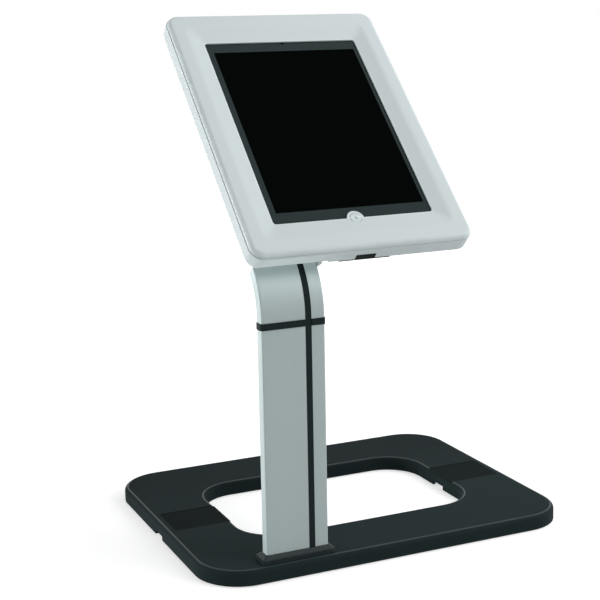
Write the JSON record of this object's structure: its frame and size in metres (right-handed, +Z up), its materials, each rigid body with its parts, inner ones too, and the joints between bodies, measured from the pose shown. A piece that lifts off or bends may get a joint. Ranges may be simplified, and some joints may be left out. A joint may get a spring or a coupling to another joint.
{
  "type": "counter-top tablet stand",
  "caption": "Counter-top stand: ring base, flat column with a cable channel, and a tilting lockable enclosure that frames a tablet.",
  "frame": {"origin": "centre of the base's footprint on the surface it stands on", "axes": "+X to the reader's right, -Y towards the reader, +Z up"},
  "size_m": [0.38, 0.3038, 0.5],
  "materials": {
    "black_plastic": "fine satin grain",
    "strip_plastic": "smooth satin",
    "pad_plastic": "matt, slightly rough",
    "steel": "zinc plated",
    "rubber": "matt",
    "column_aluminium": "satin anodised",
    "bronze": "plain bearing bronze",
    "bracket_paint": "powder coat",
    "enclosure_plastic": "silver-grey satin",
    "lock_chrome": "nickel plated",
    "foam": "closed-cell foam",
    "tablet_aluminium": "bead blasted",
    "tablet_glass": "polished, dark border",
    "tablet_parts": "plain",
    "circuit_board": "solder mask"
  },
  "bodies": {
    "stand": {"base_cover": "black_plastic", "ballast_plate": "steel", "base_screws": "steel", "rubber_feet": "rubber", "arm_pad_left": "pad_plastic", "arm_pad_right": "pad_plastic", "foot_collar": "black_plastic", "foot_block_left": "steel", "foot_block_right": "steel", "column_bolts": "steel", "foot_screws": "steel", "column": "column_aluminium", "joint_collar": "black_plastic", "joiner_bar_left": "steel", "joiner_bar_right": "steel", "joiner_screws": "steel", "neck": "column_aluminium", "channel_strip_lower": "strip_plastic", "channel_strip_upper": "strip_plastic", "hinge_block_left": "steel", "hinge_block_right": "steel", "hinge_bushes": "bronze", "friction_washer": "rubber"},
    "head": {"tilt_bracket": "bracket_paint", "bracket_screws": "steel", "bracket_nuts": "steel", "hinge_pin": "steel", "spring_washer": "steel", "hinge_nut": "steel", "rear_shell": "enclosure_plastic", "port_cover": "rubber", "lock_body": "lock_chrome", "lock_nut": "lock_chrome", "back_pads": "foam", "side_pads": "foam", "tablet_case": "tablet_aluminium", "tablet_glass": "tablet_glass", "tablet_display": "tablet_parts", "tablet_battery": "tablet_parts", "tablet_board": "circuit_board", "frame_hinge_pins": "steel"},
    "frame": {"front_frame": "enclosure_plastic", "window_gasket": "foam"},
    "lock": {"lock_barrel": "lock_chrome", "lock_cam": "steel", "cam_screw": "steel"},
    "button": {"home_button": "enclosure_plastic"}
  },
  "joints": [
    {"name": "tilt", "type": "hinge", "parent": "stand", "child": "head", "pos_m": [-0.0701, -0.11388, 0.28604], "axis": [1, 0, 0], "range_deg": [-34, 30]},
    {"name": "frame_opening", "type": "hinge", "parent": "head", "child": "frame", "pos_m": [-0.0357, 0.06937, 0.48264], "axis": [-1, 0, 0], "range_deg": [0, 95]},
    {"name": "lock_turn", "type": "hinge", "parent": "head", "child": "lock", "pos_m": [0.0243, -0.13051, 0.29637], "axis": [0, -0.6921, 0.7218], "range_deg": [0, 90]},
    {"name": "home_press", "type": "slide", "parent": "frame", "child": "button", "axis": [0, 0.6921, -0.7218], "range_m": [0, 0.0006], "stiffness_N_per_m": 250, "springref_m": -0.001}
  ]
}
